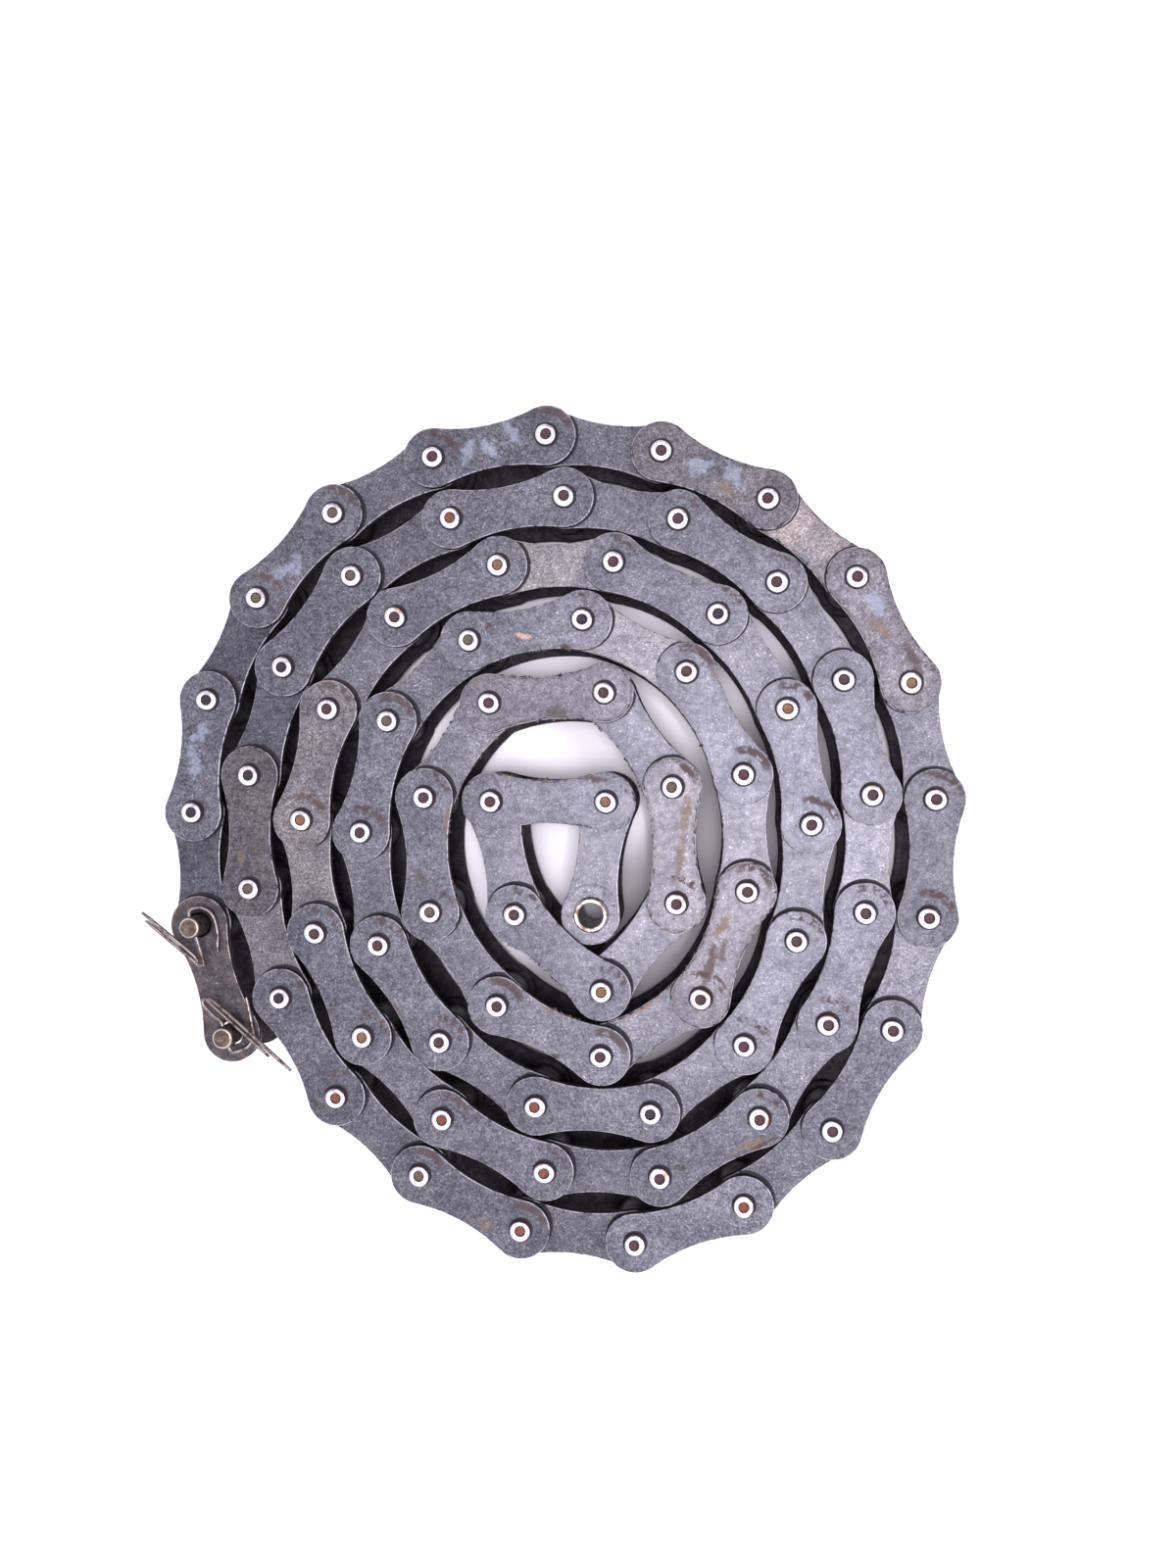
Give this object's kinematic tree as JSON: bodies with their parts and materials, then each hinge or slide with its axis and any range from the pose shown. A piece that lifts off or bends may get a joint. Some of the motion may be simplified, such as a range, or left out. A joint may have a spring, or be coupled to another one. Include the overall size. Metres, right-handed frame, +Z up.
{
  "type": "coil of roller chain",
  "caption": "Length of agricultural roller chain coiled flat on its side, with a cottered connecting link at the free outer end and an open inner link in the eye.",
  "frame": {"origin": "on the floor under the middle of the coil's bounding box", "axes": "+Z up along the chain's pins, +X to the right and +Y away in the picture, which looks straight down"},
  "size_m": [0.2936, 0.3098, 0.0449],
  "materials": {
    "outer_plate_steel": "dark blue-grey oxide skin with fine speckle, greasy, rubbed bright along the edges",
    "inner_plate_steel": "grey oxide skin, paler and warmer than the outer plates, brown rust specks",
    "roller_steel": "near black, greasy",
    "pin_steel": "bare steel ends, rusty in the centre dimple",
    "cover_plate_steel": "brown-grey, oily",
    "cotter_steel": "bare wire, warm grey"
  },
  "bodies": {
    "root": {"wound_links_11_12": "outer_plate_steel", "wound_links_13_14": "outer_plate_steel", "wound_links_15_16": "outer_plate_steel", "wound_links_17_18": "outer_plate_steel", "wound_links_19_20": "outer_plate_steel", "wound_links_21_22": "outer_plate_steel", "wound_links_23_24": "outer_plate_steel", "wound_links_25_26": "outer_plate_steel", "wound_links_27_28": "outer_plate_steel", "wound_links_29_30": "outer_plate_steel", "wound_links_31_32": "outer_plate_steel", "wound_links_33_34": "outer_plate_steel", "wound_links_35_36": "outer_plate_steel", "wound_links_37_38": "outer_plate_steel", "wound_links_39_40": "outer_plate_steel", "wound_links_41_42": "outer_plate_steel", "wound_links_43_44": "outer_plate_steel", "wound_links_45_46": "outer_plate_steel", "wound_links_47_48": "outer_plate_steel", "wound_links_49_50": "outer_plate_steel", "wound_links_51_52": "outer_plate_steel", "wound_links_53_54": "outer_plate_steel", "wound_links_55_56": "outer_plate_steel", "wound_links_57_58": "outer_plate_steel", "wound_links_59_60": "outer_plate_steel", "wound_links_61_62": "outer_plate_steel", "wound_links_63_64": "outer_plate_steel", "wound_links_65_66": "outer_plate_steel", "wound_links_67_68": "outer_plate_steel", "wound_links_69_70": "outer_plate_steel", "wound_links_71_72": "outer_plate_steel", "outer_link_73": "outer_plate_steel"},
    "link_01": {"connecting_link_pins": "pin_steel", "connecting_link_cover": "cover_plate_steel", "cotter_a": "cotter_steel", "cotter_b": "cotter_steel"},
    "link_02": {"inner_link_02": "inner_plate_steel"},
    "link_03": {"outer_link_03": "outer_plate_steel"},
    "link_04": {"inner_link_04": "inner_plate_steel"},
    "link_05": {"outer_link_05": "outer_plate_steel"},
    "link_06": {"inner_link_06": "inner_plate_steel"},
    "link_07": {"outer_link_07": "outer_plate_steel"},
    "link_08": {"inner_link_08": "inner_plate_steel"},
    "link_09": {"outer_link_09": "outer_plate_steel"},
    "link_10": {"inner_link_10": "inner_plate_steel"},
    "link_74": {"inner_link_74": "inner_plate_steel"},
    "roller_02_a": {"roller_02_a": "roller_steel"},
    "roller_02_b": {"roller_02_b": "roller_steel"},
    "roller_04_a": {"roller_04_a": "roller_steel"},
    "roller_04_b": {"roller_04_b": "roller_steel"},
    "roller_06_a": {"roller_06_a": "roller_steel"},
    "roller_06_b": {"roller_06_b": "roller_steel"},
    "roller_08_a": {"roller_08_a": "roller_steel"},
    "roller_08_b": {"roller_08_b": "roller_steel"},
    "roller_10_a": {"roller_10_a": "roller_steel"},
    "roller_10_b": {"roller_10_b": "roller_steel"},
    "roller_74_a": {"roller_74_a": "roller_steel"},
    "roller_74_b": {"roller_74_b": "roller_steel"}
  },
  "joints": [
    {"name": "hinge_pin_01", "type": "hinge", "parent": "link_02", "child": "link_01", "pos_m": [-0.12842, -0.03188, 0.01872], "axis": [0, 0, -1], "range_deg": [0, 40]},
    {"name": "hinge_pin_02", "type": "hinge", "parent": "link_03", "child": "link_02", "pos_m": [-0.13058, 0.00947, 0.01872], "axis": [0, 0, -1], "range_deg": [0, 40]},
    {"name": "hinge_pin_03", "type": "hinge", "parent": "link_04", "child": "link_03", "pos_m": [-0.12482, 0.05046, 0.01872], "axis": [0, 0, -1], "range_deg": [0, 40]},
    {"name": "hinge_pin_04", "type": "hinge", "parent": "link_05", "child": "link_04", "pos_m": [-0.10603, 0.08735, 0.01872], "axis": [0, 0, -1], "range_deg": [0, 40]},
    {"name": "hinge_pin_05", "type": "hinge", "parent": "link_06", "child": "link_05", "pos_m": [-0.07779, 0.11763, 0.01872], "axis": [0, 0, -1], "range_deg": [0, 40]},
    {"name": "hinge_pin_06", "type": "hinge", "parent": "link_07", "child": "link_06", "pos_m": [-0.04124, 0.13707, 0.01872], "axis": [0, 0, -1], "range_deg": [0, 40]},
    {"name": "hinge_pin_07", "type": "hinge", "parent": "link_08", "child": "link_07", "pos_m": [-0.00047, 0.14425, 0.01872], "axis": [0, 0, -1], "range_deg": [0, 40]},
    {"name": "hinge_pin_08", "type": "hinge", "parent": "link_09", "child": "link_08", "pos_m": [0.04042, 0.13778, 0.01872], "axis": [0, 0, -1], "range_deg": [0, 40]},
    {"name": "hinge_pin_09", "type": "hinge", "parent": "link_10", "child": "link_09", "pos_m": [0.07795, 0.12028, 0.01872], "axis": [0, 0, -1], "range_deg": [0, 40]},
    {"name": "hinge_pin_10", "type": "hinge", "parent": "root", "child": "link_10", "pos_m": [0.10871, 0.09258, 0.01872], "axis": [0, 0, -1], "range_deg": [0, 40]},
    {"name": "hinge_pin_73", "type": "hinge", "parent": "root", "child": "link_74", "pos_m": [0.0211, 0.01377, 0.01872], "axis": [0, 0, -1], "range_deg": [-2, 7.5]},
    {"name": "roller_spin_02_a", "type": "hinge", "parent": "link_02", "child": "roller_02_a", "pos_m": [-0.13058, 0.00947, 0.01872], "axis": [0, 0, 1], "continuous": true},
    {"name": "roller_spin_02_b", "type": "hinge", "parent": "link_02", "child": "roller_02_b", "pos_m": [-0.12842, -0.03188, 0.01872], "axis": [0, 0, 1], "continuous": true},
    {"name": "roller_spin_04_a", "type": "hinge", "parent": "link_04", "child": "roller_04_a", "pos_m": [-0.10603, 0.08735, 0.01872], "axis": [0, 0, 1], "continuous": true},
    {"name": "roller_spin_04_b", "type": "hinge", "parent": "link_04", "child": "roller_04_b", "pos_m": [-0.12482, 0.05046, 0.01872], "axis": [0, 0, 1], "continuous": true},
    {"name": "roller_spin_06_a", "type": "hinge", "parent": "link_06", "child": "roller_06_a", "pos_m": [-0.04124, 0.13707, 0.01872], "axis": [0, 0, 1], "continuous": true},
    {"name": "roller_spin_06_b", "type": "hinge", "parent": "link_06", "child": "roller_06_b", "pos_m": [-0.07779, 0.11763, 0.01872], "axis": [0, 0, 1], "continuous": true},
    {"name": "roller_spin_08_a", "type": "hinge", "parent": "link_08", "child": "roller_08_a", "pos_m": [0.04042, 0.13778, 0.01872], "axis": [0, 0, 1], "continuous": true},
    {"name": "roller_spin_08_b", "type": "hinge", "parent": "link_08", "child": "roller_08_b", "pos_m": [-0.00047, 0.14425, 0.01872], "axis": [0, 0, 1], "continuous": true},
    {"name": "roller_spin_10_a", "type": "hinge", "parent": "link_10", "child": "roller_10_a", "pos_m": [0.10871, 0.09258, 0.01872], "axis": [0, 0, 1], "continuous": true},
    {"name": "roller_spin_10_b", "type": "hinge", "parent": "link_10", "child": "roller_10_b", "pos_m": [0.07795, 0.12028, 0.01872], "axis": [0, 0, 1], "continuous": true},
    {"name": "roller_spin_74_a", "type": "hinge", "parent": "link_74", "child": "roller_74_a", "pos_m": [0.0211, 0.01377, 0.01872], "axis": [0, 0, 1], "continuous": true},
    {"name": "roller_spin_74_b", "type": "hinge", "parent": "link_74", "child": "roller_74_b", "pos_m": [0.01534, -0.02723, 0.01872], "axis": [0, 0, 1], "continuous": true}
  ]
}
